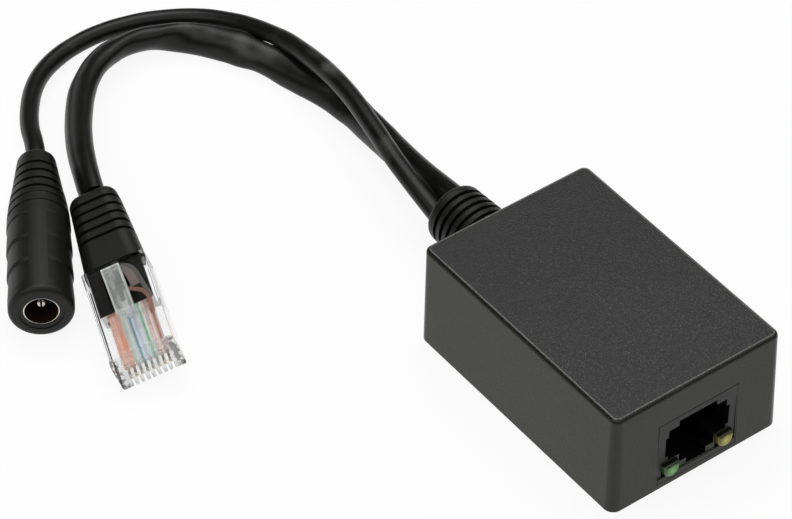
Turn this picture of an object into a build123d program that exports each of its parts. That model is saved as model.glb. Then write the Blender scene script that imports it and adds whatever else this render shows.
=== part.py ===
from build123d import *
import math
import os

os.makedirs("parts", exist_ok=True)

# Frame: millimetres, Z up, origin at the middle of the housing's underside,
# +X towards the face with the network socket.

# Housing: its outer size adds up from what it holds, further down
wall = 2.0
draft = 1.26
corner_radius = 1.85
inner_corner_radius = 0.8
top_edge_radius = 0.8
base_thickness = 1.15
base_edge_chamfer = 0.2
lip_height = 2.0
lip_thickness = 1.2
lip_clearance = 0.15
hook_end_room = 12.55
hook_width = 5.0
hook_height = 6.0
hook_nose = 0.6
hook_nose_height = 1.4
catch_clearance = 0.2

# Circuit board and the posts that hold it
board_thickness = 1.6
board_headroom = 2.7
board_end_gap = 0.4
board_side_gap = 0.4
board_rear_room = 8.55
board_corner = 1.0
post_radius = 1.8
post_rear_edge = 3.0
post_front_room = 8.55
post_side_room = 4.85
post_tip_radius = 0.8
post_tip_height = 2.4
post_tip_clearance = 0.2

# Network socket, which hangs upside down under the board
jack_width = 16.2
jack_height = 13.1
jack_depth = 21.3
jack_y = 0.15
jack_gap = 0.15
jack_rear_room = 3.0866
cavity_shape = (
    (6.0, 8.8, 2.1),
    (6.6, 7.9, 3.6),
    (3.9, 7.1, 1.03),
    (3.6, 10.6, 7.1),
    (2.05, 12.27, 9.1),
)
catch_lip = 1.8
catch_half_width = 3.6
partition = 1.0
insert_room = 7.7
insert_pocket_half = 6.6
insert_pocket_floor = 2.0
insert_floor = 3.6
insert_gap = 0.1
tongue_reach = 3.0
tongue_thickness = 0.45
peg_radius = 1.5
peg_length = 1.4
peg_depth = 9.0
peg_spread = 6.2
hole_gap = 0.1

# Socket contacts
contact_count = 8
contact_pitch = 1.016
contact_width = 0.46
contact_thickness = 0.3
contact_bend = 0.45
contact_front = 2.4
contact_free_gap = 2.0
contact_free_drop = 4.3
pin_rear_edge = 3.46
pin_row_pitch = 2.54

# Status lights at the socket's lower corners
led_width = 3.1
led_height = 2.7
led_floor = 1.1
led_spread = 5.6
led_length = 5.0
led_protrusion = 1.0
led_edge_radius = 0.6
led_gap = 0.1
led_leg = 0.5
led_leg_pitch = 1.27
led_leg_behind = 0.7

# Strain relief
gland_z = 8.46
neck_radius = 4.5
neck_gap = 0.1
flange_radius = 7.0
flange_thickness = 1.5
collar_radius = 6.2
gland_end_radius = 5.5
gland_length = 14.05
groove_count = 7
groove_width = 0.8
groove_depth = 0.7
groove_pitch = 1.7
first_groove = 2.5
gland_shoulder = 1.1

# Free cords, which part just behind the strain relief
ethernet_diameter = 5.0
dc_diameter = 3.4
bend_share = 0.45
boot_leg = 7.8
dc_leg = 6.6
cord_gap = 0.3
cord_slope = math.radians(25.2)

# Modular plug: nose corner on the floor, rolled and slightly nose down
plug_width = 11.4
plug_height = 6.6
plug_length = 21.5
plug_nose = (-42.52, -59.02)
plug_yaw = -20.4
plug_nose_down = 2.5
plug_roll = 18.35
plug_wall = 0.8
plug_cavity_reach = 11.3
plug_top_edge = 0.45
nose_slope_length = 0.7
nose_slope_height = 1.2
lane_front = 2.2
lane_floor = 2.2
lane_height = 1.3
lane_half_width = 4.15
blade_slot_width = 0.46
blade_slot_length = 5.2
blade_thickness = 0.34
blade_back = 4.9
blade_front = 0.9
blade_bottom = 0.5
latch_root_width = 6.2
latch_tip_width = 3.25
latch_shoulder = 8.0
latch_end = 16.8
latch_thickness = 1.0
latch_root = 1.0
latch_rise = 3.8
plug_wire_diameter = 0.98
plug_wire_tail = 13.0

# Boot of the plug
boot_length = 18.4
boot_front_width = 10.9
boot_front_height = 7.0
boot_rear_width = 8.5
boot_rear_height = 6.6
boot_corner = 2.4
boot_end_radius = 2.1
boot_groove_count = 5
boot_groove_first = 3.4
boot_groove_pitch = 2.1
boot_groove_width = 0.7
boot_groove_depth = 0.5
boot_tongue_gap = 0.1
boot_window_half = 2.6
boot_window_rear = 20.0

# In-line power socket
dc_face = (-62.94, -67.86)
dc_yaw = -31.5
dc_radius = 5.65
dc_front_radius = 5.6
dc_edge_radius = 1.0
dc_barrel_end = 20.0
dc_barrel_end_radius = 5.5
dc_taper_radius = 4.5
dc_taper_bulge = 0.2
dc_taper_end = 29.0
dc_rear_radius = 3.3
dc_length = 37.6
dc_shoulder = 1.0
dc_groove_places = (26.3, 28.7, 31.1, 33.5)
dc_groove_width = 0.7
dc_groove_depth = 0.5
dc_shallow_places = (22.0, 24.2)
dc_shallow_depth = 0.15
grip_count = 3
grip_first = 2.3
grip_pitch = 5.9
grip_depth = 0.28
grip_step = 0.6
grip_spine = 3.2
core_radius = 3.8
core_length = 14.0
core_recess = 0.2
fit_gap = 0.04
sleeve_radius = 3.05
sleeve_bore = 2.86
sleeve_recess = 0.4
sleeve_length = 9.5
pin_radius = 1.03
pin_recess = 1.9
pin_slit = 0.35
pin_slit_length = 4.5
spring_width = 1.6
spring_thickness = 0.25
spring_slot_gap = 0.15
spring_front = 2.6

# Parts on the board's underside and the wires to it
magnetics_length = 12.7
magnetics_width = 9.5
magnetics_height = 6.0
magnetics_standoff = 0.3
lead_count = 8
lead_pitch = 1.27
lead_width = 0.5
lead_thickness = 0.3
lead_reach = 1.2
capacitor_radius = 3.15
capacitor_height = 7.0
capacitor_gap = 0.1
capacitor_behind = 3.0
capacitor_legs = 2.5
capacitor_leg = 0.5
capacitor_side_room = 5.1
diode_size = (4.6, 3.6, 2.3)
diode_behind = 4.1
fuse_size = (4.5, 3.2, 1.2)
fuse_ahead = 2.0
chip_size = (2.0, 1.25, 0.6)
chip_pitch = 2.2
chip_column = 2.7
resistor_ahead = 5.7
chip_capacitor_ahead = 6.7
wire_diameter = 1.0
wire_pitch = 1.5
wire_edge = 1.7
wire_bend = 2.4
supply_pitch = 2.4
supply_step = 2.3
supply_gap = 1.15
solder_radius = 0.8
solder_tip = 0.35
solder_height = 0.7

# Heights, from the base plate up
lean = math.tan(math.radians(draft))
jack_floor = base_thickness
jack_top = jack_floor + jack_height
board_floor = jack_top
board_top = board_floor + board_thickness
ceiling = board_top + board_headroom
housing_height = ceiling + wall

# Lengths, from the rear face to the front one, measured at the bottom edge
module_rear_room = board_rear_room + wire_edge + supply_step + supply_gap
jack_setback = jack_top * lean
housing_length = module_rear_room + magnetics_length + jack_rear_room + jack_depth + jack_setback
jack_front = housing_length / 2 - jack_setback
board_rear = board_rear_room - housing_length / 2
wire_column = board_rear + wire_edge
supply_column = wire_column + supply_step
magnetics_x = module_rear_room + magnetics_length / 2 - housing_length / 2

# Widths, from the middle out: the line module, its leads, the capacitor and the side room
beside_module = magnetics_width / 2 + lead_reach + capacitor_gap + capacitor_radius
housing_width = 2 * (beside_module + capacitor_radius + capacitor_side_room)
post_places = [
    (x, side * (housing_width / 2 - post_side_room))
    for x in (board_rear + post_rear_edge, housing_length / 2 - post_front_room)
    for side in (-1, 1)
]
hook_places = (hook_end_room - housing_length / 2, housing_length / 2 - hook_end_room)

# Parts beside the line module, in rows that start at the capacitor's line
capacitor_place = (magnetics_x - capacitor_behind, -beside_module)
diode_place = (magnetics_x - diode_behind, beside_module)
fuse_place = (magnetics_x + fuse_ahead, beside_module)
chip_rows = [beside_module + chip_size[0] / 2 + step * chip_pitch for step in (-1, 0, 1)]
resistor_places = [
    (magnetics_x + ahead, -row)
    for ahead in (resistor_ahead, chip_column)
    for row in chip_rows[1:]
]
chip_capacitor_places = [(magnetics_x + chip_capacitor_ahead, row) for row in chip_rows]
chip_capacitor_places.append((magnetics_x + chip_column, chip_rows[-1]))

# Depths and heights in the network socket, from its rear and its roof
cavity_depth = jack_depth - insert_room - partition
cavity_steps = [
    (half_width, jack_height - below, jack_height - above) for half_width, below, above in cavity_shape
]
contact_free_depth = cavity_depth - contact_free_gap
contact_free_height = jack_height - contact_free_drop
pin_rows = (jack_depth - pin_rear_edge - pin_row_pitch, jack_depth - pin_rear_edge)


def save(part, name):
    """Write one sub-part to its own file."""
    export_step(part, f"parts/{name}.step")


def group(solids):
    """Separate solids of one sub-part, kept apart."""
    return Compound(children=[s for item in solids for s in item.solids()])


def box_between(low, high):
    """Box given by its lowest and highest corners."""
    size = [b - a for a, b in zip(low, high)]
    centre = [(a + b) / 2 for a, b in zip(low, high)]
    return Pos(*centre) * Box(*size)


def across(x, y=0.0, z=0.0):
    """Plane across the X axis, facing +X."""
    return Plane(origin=(x, y, z), x_dir=(0, 1, 0), z_dir=(1, 0, 0))


def drafted(low, high, inset=0.0, radius=None):
    """Block of the housing's drafted outline between two heights."""
    inward = 2 * (low * lean + inset)
    rounding = radius or corner_radius - low * lean - inset
    outline = RectangleRounded(housing_length - inward, housing_width - inward, rounding)
    return extrude(Pos(0, 0, low) * outline, amount=high - low, taper=draft)


def inner_face(half_size, height):
    """Distance from the middle to the inside of a wall at a height."""
    return half_size - wall - height * lean


def turned(profile):
    """Solid turned about the X axis from (x, radius) points."""
    points = [(profile[0][0], 0), *profile, (profile[-1][0], 0)]
    return revolve(Plane.XZ * make_face(Polyline(*points, close=True)), Axis.X)


def bar_along_x(x_from, x_to, radius, y=0.0, z=0.0):
    """Round bar along X."""
    return Pos((x_from + x_to) / 2, y, z) * Rot(0, 90, 0) * Cylinder(radius, abs(x_to - x_from))


def ribbon(points, y, width, thickness, bend):
    """Flat strip, bent in an XZ plane along its middle line."""
    path = FilletPolyline(*[(x, y, z) for x, z in points], radius=bend)
    start = Plane(origin=path @ 0, x_dir=(0, 1, 0), z_dir=path % 0)
    return sweep(start * Rectangle(width, thickness), path=path)


def wire(points, diameter, bend):
    """Round wire along straight runs joined by arcs."""
    path = FilletPolyline(*points, radius=bend)
    return sweep(Plane(origin=path @ 0, z_dir=path % 0) * Circle(diameter / 2), path=path)


def cover():
    shell = drafted(base_thickness, housing_height)
    shell = fillet(shell.edges().group_by(Axis.Z)[-1], top_edge_radius)
    shell -= drafted(base_thickness, ceiling, wall, inner_corner_radius)
    half = jack_width / 2 + jack_gap
    shell -= box_between(
        (housing_length / 2 - 2 * wall, jack_y - half, base_thickness),
        (housing_length, jack_y + half, jack_top + jack_gap),
    )
    slot = neck_radius + neck_gap
    rear = -housing_length
    shell -= box_between((rear, -slot, base_thickness), (-housing_length / 2 + 2 * wall, slot, gland_z))
    shell -= bar_along_x(rear, -housing_length / 2 + 2 * wall, slot, z=gland_z)
    for x in hook_places:
        for side in (-1, 1):
            shell -= hook_pocket(x, side)
    for x, y in post_places:
        shell += Pos(x, y, (board_top + ceiling) / 2) * Cylinder(post_radius, ceiling - board_top)
        hole_radius = post_tip_radius + post_tip_clearance
        hole_height = post_tip_height - board_thickness + post_tip_clearance
        shell -= Pos(x, y, board_top + hole_height / 2) * Cylinder(hole_radius, hole_height)
    return shell


def hook_pocket(x, side):
    """Recess in a long wall for the nose of a hook."""
    top = base_thickness + hook_height
    low = top - hook_nose_height - catch_clearance
    face = inner_face(housing_width / 2, top)
    y = sorted((side * (face - wall / 2), side * (face + hook_nose + catch_clearance - lip_clearance)))
    half = hook_width / 2 + catch_clearance
    return box_between((x - half, y[0], low), (x + half, y[1], top + catch_clearance))


def hook(x, side):
    """Springy hook that snaps into the cover's pocket."""
    top = base_thickness + hook_height
    face = inner_face(housing_width / 2, top) - lip_clearance
    back = face - lip_thickness
    outline = [
        (back, base_thickness),
        (back, top),
        (face, top),
        (face + hook_nose, top - hook_nose_height * 0.7),
        (face + hook_nose, top - hook_nose_height),
        (face, top - hook_nose_height),
        (face, base_thickness),
    ]
    flat = make_face(Polyline(*[(side * y, z) for y, z in outline], close=True))
    return extrude(across(x) * flat, amount=hook_width / 2, both=True)


def base_plate():
    plate = drafted(0, base_thickness)
    plate = chamfer(plate.edges().group_by(Axis.Z)[0], base_edge_chamfer)
    top = base_thickness + lip_height
    outer = wall + lip_clearance
    lip = drafted(base_thickness, top, outer, inner_corner_radius)
    lip -= drafted(base_thickness, top, outer + lip_thickness, inner_corner_radius / 2)
    half = jack_width / 2 + lip_thickness
    lip -= box_between((0, jack_y - half, base_thickness), (housing_length, jack_y + half, top))
    half = flange_radius + neck_gap
    lip -= box_between((-housing_length, -half, base_thickness), (0, half, top))
    plate += lip
    for x in hook_places:
        for side in (-1, 1):
            plate += hook(x, side)
    for x, y in post_places:
        middle = (base_thickness + board_floor) / 2
        plate += Pos(x, y, middle) * Cylinder(post_radius, board_floor - base_thickness)
        plate += Pos(x, y, board_floor + post_tip_height / 2) * Cylinder(post_tip_radius, post_tip_height)
    return plate + neck_saddle()


def neck_saddle():
    """Upright piece that closes the rear slot under the strain relief's neck."""
    block = drafted(base_thickness, gland_z)
    block -= drafted(base_thickness, gland_z, wall, inner_corner_radius)
    block &= box_between((-housing_length, -neck_radius, base_thickness), (0, neck_radius, gland_z))
    return block - bar_along_x(-housing_length, 0, neck_radius + neck_gap, z=gland_z)


def jack_point(depth, height):
    """X and Z of a point at a depth behind the socket's face and a height above its floor."""
    return jack_front - depth, jack_floor + height


def jack_block(depth, half_width, height, middle=0.0):
    """Box in the socket, given by ranges of depth and height and a half width."""
    x_front, low = jack_point(depth[0], height[0])
    x_back, high = jack_point(depth[1], height[1])
    y = jack_y + middle
    return box_between((x_back, y - half_width, low), (x_front, y + half_width, high))


def rj45_jack():
    body = jack_block((0, jack_depth), jack_width / 2, (0, jack_height))
    for half_width, low, high in cavity_steps:
        body -= jack_block((0, cavity_depth), half_width, (low, high))
    notch = (cavity_steps[-1][1], cavity_steps[0][1])
    body -= jack_block((catch_lip, cavity_depth), catch_half_width, notch)
    channel = cavity_steps[2]
    pocket = cavity_depth + partition
    body -= jack_block((0, jack_depth), channel[0], (cavity_steps[0][2], channel[2]))
    body -= jack_block((pocket, jack_depth), insert_pocket_half, (insert_pocket_floor, channel[2]))
    body -= jack_block((pocket, jack_depth), channel[0] + insert_gap, (channel[2], jack_height))
    for side in (-1, 1):
        opening = led_width / 2 + led_gap
        low = led_floor - led_gap
        high = led_floor + led_height + led_gap
        body -= jack_block((0, led_length + led_gap), opening, (low, high), side * led_spread)
        low = led_floor + led_height / 2 - led_leg
        high = led_floor + led_height / 2 + led_leg
        body -= jack_block((0, jack_depth), led_leg_pitch / 2 + led_leg, (low, high), side * led_spread)
        x, z = jack_point(peg_depth, jack_height + peg_length / 2)
        body += Pos(x, jack_y + side * peg_spread, z) * Cylinder(peg_radius, peg_length)
    return body


def jack_insert():
    pocket = cavity_depth + partition + insert_gap
    channel = cavity_steps[2]
    tongue_top = cavity_steps[0][2] + tongue_thickness
    rear = jack_depth - insert_gap
    block = jack_block((pocket, rear), insert_pocket_half - insert_gap, (insert_floor, tongue_top))
    tongue = (cavity_steps[0][2], tongue_top)
    return block + jack_block((tongue_reach, pocket), channel[0] - insert_gap, tongue)


def contact_rows():
    """Y of each contact and the depth of its pin."""
    middle = (contact_count - 1) / 2
    for index in range(contact_count):
        yield jack_y + (index - middle) * contact_pitch, pin_rows[index % 2]


def jack_contacts():
    strips = []
    seat = cavity_steps[0][2] + tongue_thickness + contact_thickness / 2
    lower = seat - 2 * contact_bend - contact_thickness
    for y, pin_depth in contact_rows():
        x_pin, z_seat = jack_point(pin_depth, seat)
        x_front = jack_point(contact_front, 0)[0]
        x_free, z_free = jack_point(contact_free_depth, contact_free_height)
        points = [
            (x_pin, board_top),
            (x_pin, z_seat),
            (x_front, z_seat),
            (x_front, jack_floor + lower),
            (x_free, z_free),
        ]
        strips.append(ribbon(points, y, contact_width, contact_thickness, contact_bend))
    return group(strips)


def led(side):
    """Lens with a flat top, a rounded underside and a soft front edge."""
    radius = led_width / 2
    floor = jack_floor + led_floor
    middle = floor + led_height - radius * 0.75
    top = floor + led_height
    outline = make_face(
        Polyline((-radius, middle), (-radius, top), (radius, top), (radius, middle))
        + ThreePointArc((radius, middle), (0, floor), (-radius, middle))
    )
    back = across(jack_front - led_length, jack_y + side * led_spread)
    lens = extrude(back * outline, amount=led_length + led_protrusion)
    return fillet(lens.edges().group_by(Axis.X)[-1], led_edge_radius)


def led_legs():
    """Y of each leg and the X where it turns up to the board."""
    x = jack_front - jack_depth - led_leg_behind
    for side in (-1, 1):
        for leg in (-1, 1):
            yield jack_y + side * led_spread + leg * led_leg_pitch / 2, x


def led_leads():
    height = jack_floor + led_floor + led_height / 2
    points_from = jack_front - led_length
    legs = []
    for y, x in led_legs():
        points = [(points_from, height), (x, height), (x, board_top)]
        legs.append(ribbon(points, y, led_leg, led_leg, led_leg))
    return group(legs)


def gland():
    wall_rear = housing_length / 2
    inside = inner_face(wall_rear, gland_z + flange_radius)
    start = wall_rear
    end = start + gland_length
    flange = turned([(-inside + flange_thickness, flange_radius), (-inside, flange_radius)])
    neck = turned([(-inside, neck_radius), (-start, neck_radius)])
    sleeve = turned([(-start, collar_radius), (-end, gland_end_radius)])
    sleeve = fillet(sleeve.edges().group_by(Axis.X)[0], gland_shoulder)
    for index in range(groove_count):
        x = -end + first_groove + index * groove_pitch
        ring = bar_along_x(x - groove_width / 2, x + groove_width / 2, collar_radius + groove_depth)
        ring -= bar_along_x(x - groove_width / 2, x + groove_width / 2, gland_radius(x) - groove_depth)
        sleeve -= ring
    return Pos(0, 0, gland_z) * (flange + neck + sleeve)


def gland_radius(x):
    """Radius of the strain relief's ridges at X."""
    start = housing_length / 2
    share = (-x - start) / gland_length
    return collar_radius + (gland_end_radius - collar_radius) * share


def cord_exits():
    """Where the power cord and the network cord leave the strain relief."""
    x = -(housing_length / 2 + gland_length)
    reach = (ethernet_diameter + dc_diameter + cord_gap) / 2
    dc_offset = -(reach - dc_diameter / 2)
    ethernet_offset = reach - ethernet_diameter / 2
    places = []
    for offset in (dc_offset, ethernet_offset):
        places.append((x, offset * math.cos(cord_slope), gland_z + offset * math.sin(cord_slope)))
    return places


def corner_radii(points):
    """Arc radius at each corner of a route, as large as its two runs allow."""
    radii = []
    for before, corner, after in zip(points, points[1:], points[2:]):
        arriving = Vector(*corner) - Vector(*before)
        leaving = Vector(*after) - Vector(*corner)
        half_turn = math.radians(arriving.get_angle(leaving) / 2)
        radii.append(bend_share * min(arriving.length, leaving.length) / math.tan(half_turn))
    return radii


def cord(points, diameter, name):
    radii = corner_radii(points)
    tube = wire(points, diameter, radii)
    route = FilletPolyline(*points, radius=radii)
    print(name, "length", round(route.length, 1), "radii", [round(r, 1) for r in radii])
    print(name, "volume share", round(tube.volume / (route.length * math.pi * diameter ** 2 / 4), 4))
    return tube


def plug_frame():
    """Place of the plug's nose: its lower left corner stands on the floor."""
    tilt = math.sin(math.radians(plug_roll)) * math.cos(math.radians(plug_nose_down))
    place = Pos(*plug_nose, plug_width / 2 * tilt)
    return place * Rot(0, 0, plug_yaw) * Rot(0, plug_nose_down, 0) * Rot(plug_roll, 0, 0)


def wire_rows(count, pitch):
    """Evenly spaced places about the middle."""
    return [(index - (count - 1) / 2) * pitch for index in range(count)]


def plug_body():
    side = [
        (0, 0),
        (0, plug_height - nose_slope_height),
        (-nose_slope_length, plug_height),
        (-plug_length, plug_height),
        (-plug_length, 0),
    ]
    body = extrude(Plane.XZ * make_face(Polyline(*side, close=True)), amount=plug_width / 2, both=True)
    long_edges = body.edges().filter_by(Axis.X)
    body = fillet(long_edges, plug_top_edge)
    cavity = plug_width / 2 - plug_wall
    body -= box_between(
        (-plug_length, -cavity, plug_wall),
        (-plug_cavity_reach, cavity, plug_height - plug_wall),
    )
    body -= box_between(
        (-plug_cavity_reach, -lane_half_width, lane_floor),
        (-lane_front, lane_half_width, lane_floor + lane_height),
    )
    for y in wire_rows(contact_count, contact_pitch):
        half = blade_slot_width / 2
        body -= box_between((-blade_slot_length, y - half, 0), (0, y + half, lane_floor))
    return body + latch()


def latch():
    """Lever that rises backwards from the nose, with shoulders half way."""
    root_top = plug_height + latch_thickness / 2
    side = [
        (-nose_slope_length, plug_height - latch_thickness / 2),
        (-latch_root, root_top),
        (-latch_end, root_top + latch_rise),
        (-latch_end, root_top + latch_rise - latch_thickness),
        (-latch_root - 2 * latch_thickness, plug_height - latch_thickness / 2),
    ]
    flat = Plane.XZ * make_face(Polyline(*side, close=True))
    lever = extrude(flat, amount=latch_root_width / 2, both=True)
    for turn in (-1, 1):
        y = sorted((turn * latch_tip_width / 2, turn * latch_root_width))
        lever -= box_between((-latch_end, y[0], 0), (-latch_shoulder, y[1], 2 * plug_height))
    return lever


def plug_contacts():
    blades = []
    for y in wire_rows(contact_count, contact_pitch):
        half = blade_thickness / 2
        blade = box_between((-blade_back, y - half, blade_bottom), (-blade_front, y + half, lane_floor))
        corners = blade.edges().filter_by(Axis.Y).group_by(Axis.Z)[0]
        blades.append(fillet(corners, blade_bottom))
    return group(blades)


def plug_wires(places):
    """Conductors that lie in the plug's lane, given by their place in the row."""
    height = lane_floor + plug_wire_diameter / 2 + 0.1
    rows = wire_rows(contact_count, contact_pitch)
    return group([
        bar_along_x(-plug_wire_tail, -lane_front - hole_gap, plug_wire_diameter / 2, rows[place], height)
        for place in places
    ])


def boot_section(x, width, height):
    """Rounded outline of the boot across the plug's axis."""
    return across(x, 0, plug_height / 2) * RectangleRounded(width, height, boot_corner)


def plug_boot():
    front = boot_section(-plug_length, boot_front_width, boot_front_height)
    rear = boot_section(-plug_length - boot_length, boot_rear_width, boot_rear_height)
    boot = loft([front, rear])
    boot = fillet(boot.edges().group_by(Axis.X)[0], boot_end_radius)
    for index in range(boot_groove_count):
        x = -plug_length - boot_length + boot_groove_first + index * boot_groove_pitch
        boot -= boot_groove(x)
    half = plug_width / 2 - plug_wall - boot_tongue_gap
    low = plug_wall + boot_tongue_gap
    high = plug_height - plug_wall - boot_tongue_gap
    tongue = box_between((-plug_length, -half, low), (-plug_cavity_reach - boot_tongue_gap, half, high))
    window_floor = lane_floor
    tongue -= box_between(
        (-boot_window_rear + boot_window_half, -boot_window_half, window_floor),
        (0, boot_window_half, plug_height),
    )
    tongue -= Pos(-boot_window_rear + boot_window_half, 0, (window_floor + plug_height) / 2) * Cylinder(
        boot_window_half, plug_height - window_floor
    )
    tongue -= box_between(
        (-plug_wire_tail - hole_gap, -lane_half_width, lane_floor),
        (0, lane_half_width, lane_floor + lane_height),
    )
    return boot + tongue


def boot_groove(x):
    """Ring cut round the boot at X."""
    share = (-x - plug_length) / boot_length
    width = boot_front_width + (boot_rear_width - boot_front_width) * share
    height = boot_front_height + (boot_rear_height - boot_front_height) * share
    deep = 2 * boot_groove_depth
    start = across(x - boot_groove_width / 2, 0, plug_height / 2)
    ring = RectangleRounded(width + deep, height + deep, boot_corner)
    ring -= RectangleRounded(width - deep, height - deep, boot_corner - boot_groove_depth)
    return extrude(start * ring, amount=boot_groove_width)


def dc_frame():
    """Place of the power socket's face: its side lies on the floor."""
    return Pos(*dc_face, dc_radius) * Rot(0, 0, dc_yaw)


def dc_jack_boot():
    front = (0, dc_front_radius)
    barrel_end = (-dc_barrel_end, dc_barrel_end_radius)
    taper_end = (-dc_taper_end, dc_taper_radius)
    taper_middle = (dc_barrel_end + dc_taper_end) / 2
    outline = (
        Polyline((0, 0), front)
        + ThreePointArc(front, (-dc_barrel_end / 2, dc_radius), barrel_end)
        + ThreePointArc(barrel_end, (-taper_middle, dc_boot_radius(taper_middle)), taper_end)
        + Polyline(taper_end, (-dc_length, dc_rear_radius), (-dc_length, 0), (0, 0))
    )
    boot = revolve(Plane.XZ * make_face(outline), Axis.X)
    boot = fillet(boot.edges().group_by(Axis.X)[0], dc_shoulder)
    boot = fillet(boot.edges().group_by(Axis.X)[-1], dc_edge_radius)
    for place in dc_groove_places:
        boot -= dc_ring_cut(place, dc_groove_depth)
    for place in dc_shallow_places:
        boot -= dc_ring_cut(place, dc_shallow_depth)
    for index in range(grip_count):
        boot -= dc_grip_cut(grip_first + index * grip_pitch)
    return boot - bar_along_x(-core_length - fit_gap, dc_edge_radius, core_radius + fit_gap)


def dc_ring_cut(place, depth):
    """Ring that is cut round the tapered rear of the power socket."""
    span = (-place - dc_groove_width / 2, -place + dc_groove_width / 2)
    return bar_along_x(*span, dc_radius) - bar_along_x(*span, dc_boot_radius(place) - depth)


def dc_grip_cut(front):
    """Finger grip on both flanks: it deepens towards its rear step, and a smooth spine stays on top."""
    rear = front + grip_pitch
    low = dc_radius - grip_depth
    high = 2 * dc_radius
    profile = [
        (-front, high),
        (-front, dc_radius),
        (grip_step - rear, low),
        (-rear, dc_radius),
        (-rear, high),
    ]
    ring = revolve(Plane.XZ * make_face(Polyline(*profile, close=True)), Axis.X)
    spine = box_between((-rear, -grip_spine / 2, -high), (-front, grip_spine / 2, high))
    return ring - spine


def dc_boot_radius(depth):
    """Radius of the tapered rear of the power socket at a depth."""
    if depth < dc_taper_end:
        share = (depth - dc_barrel_end) / (dc_taper_end - dc_barrel_end)
        bulge = dc_taper_bulge * 4 * share * (1 - share)
        return dc_barrel_end_radius + (dc_taper_radius - dc_barrel_end_radius) * share + bulge
    share = (depth - dc_taper_end) / (dc_length - dc_taper_end)
    return dc_taper_radius + (dc_rear_radius - dc_taper_radius) * share


def spring_slot(half_width, low, high, front, back):
    """Slot above the bore for the contact spring."""
    return box_between((-back, -half_width, low), (-front, half_width, high))


def dc_jack_core():
    core = bar_along_x(-core_length, -core_recess, core_radius)
    sleeve_back = sleeve_recess + sleeve_length
    core -= bar_along_x(-sleeve_back - fit_gap, 0, sleeve_radius + fit_gap)
    core -= bar_along_x(-core_length, 0, pin_radius + fit_gap)
    half = spring_width / 2 + spring_slot_gap
    top = sleeve_radius + 2 * spring_slot_gap + spring_thickness
    core -= spring_slot(half, 0, top, spring_front, sleeve_back)
    return core - spring_slot(half, sleeve_bore, top, sleeve_back, core_length)


def dc_jack_sleeve():
    span = (-sleeve_recess - sleeve_length, -sleeve_recess)
    sleeve = bar_along_x(*span, sleeve_radius) - bar_along_x(*span, sleeve_bore)
    half = spring_width / 2 + spring_slot_gap
    return sleeve - spring_slot(half, 0, dc_radius, spring_front, dc_radius * 2)


def dc_jack_pin():
    pin = bar_along_x(-core_length, -pin_recess, pin_radius)
    pin = fillet(pin.edges().group_by(Axis.X)[-1], pin_radius * 0.7)
    slit = box_between(
        (-pin_recess - pin_slit_length, -pin_slit / 2, -dc_radius),
        (0, pin_slit / 2, dc_radius),
    )
    return pin - slit


def dc_jack_spring():
    seat = sleeve_radius + spring_slot_gap + spring_thickness / 2
    dip = sleeve_bore - 2 * spring_slot_gap - spring_thickness / 2
    back = -sleeve_recess - sleeve_length
    front = -spring_front - 2 * spring_slot_gap
    points = [(-core_length, seat), (back + spring_width, seat), ((back + front) / 2, dip), (front, seat)]
    return ribbon(points, 0, spring_width, spring_thickness, spring_width / 2)


def under_board(size, place, standoff=0.0):
    """Block that hangs under the board."""
    length, width, height = size
    x, y = place
    return Pos(x, y, board_floor - standoff - height / 2) * Box(length, width, height)


def magnetics_module():
    size = (magnetics_length, magnetics_width, magnetics_height)
    block = under_board(size, (magnetics_x, 0), magnetics_standoff)
    return chamfer(block.edges().filter_by(Axis.Z), lead_thickness)


def magnetics_leads():
    leads = []
    half = magnetics_width / 2
    middle = board_floor - magnetics_standoff - magnetics_height / 2
    for x in wire_rows(lead_count, lead_pitch):
        for side in (-1, 1):
            outline = [
                (half, middle),
                (half + lead_thickness * 2, middle),
                (half + lead_thickness * 2, board_floor - lead_thickness),
                (half + lead_reach, board_floor - lead_thickness),
                (half + lead_reach, board_floor),
                (half + lead_thickness, board_floor),
                (half + lead_thickness, middle + lead_thickness),
                (half, middle + lead_thickness),
            ]
            flat = make_face(Polyline(*[(side * y, z) for y, z in outline], close=True))
            leads.append(extrude(across(magnetics_x + x) * flat, amount=lead_width / 2, both=True))
    return group(leads)


def filter_capacitor():
    middle = board_floor - capacitor_height / 2
    can = Pos(*capacitor_place, middle) * Cylinder(capacitor_radius, capacitor_height)
    can = fillet(can.edges().group_by(Axis.Z)[0], capacitor_leg)
    bead = board_floor - 4 * capacitor_leg
    ring = Pos(*capacitor_place, bead) * Torus(capacitor_radius + capacitor_leg / 4, capacitor_leg / 2)
    return can - ring


def capacitor_leg_places():
    x, y = capacitor_place
    return [(x - capacitor_legs / 2, y), (x + capacitor_legs / 2, y)]


def capacitor_leads():
    return group([
        Pos(x, y, board_floor + board_thickness / 2) * Box(capacitor_leg, capacitor_leg, board_thickness)
        for x, y in capacitor_leg_places()
    ])


def surge_diode():
    block = under_board(diode_size, diode_place)
    return chamfer(block.edges().group_by(Axis.Z)[0], diode_size[2] / 6)


def polyfuse():
    block = under_board(fuse_size, fuse_place)
    return fillet(block.edges().filter_by(Axis.Z), fuse_size[2] / 4)


def chips(places):
    return group([under_board(chip_size, place) for place in places])


def data_wire_places():
    return [(wire_column, y) for y in wire_rows(contact_count, wire_pitch)]


def supply_wire_places():
    return [(supply_column, y) for y in wire_rows(2, supply_pitch)]


def board_wire(place, exit_y, exit_z):
    """Wire from the strain relief's inner face, up through the board."""
    x, y = place
    start = -inner_face(housing_length / 2, gland_z + flange_radius) + flange_thickness
    bare = (start + wire_diameter, exit_y, exit_z)
    if exit_y == y:
        return wire([(start, y, exit_z), (x, y, exit_z), (x, y, board_top)], wire_diameter, wire_bend)
    points = [(start, exit_y, exit_z), bare, (x, y, exit_z), (x, y, board_top)]
    return wire(points, wire_diameter, [wire_diameter * 2, wire_bend])


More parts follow.
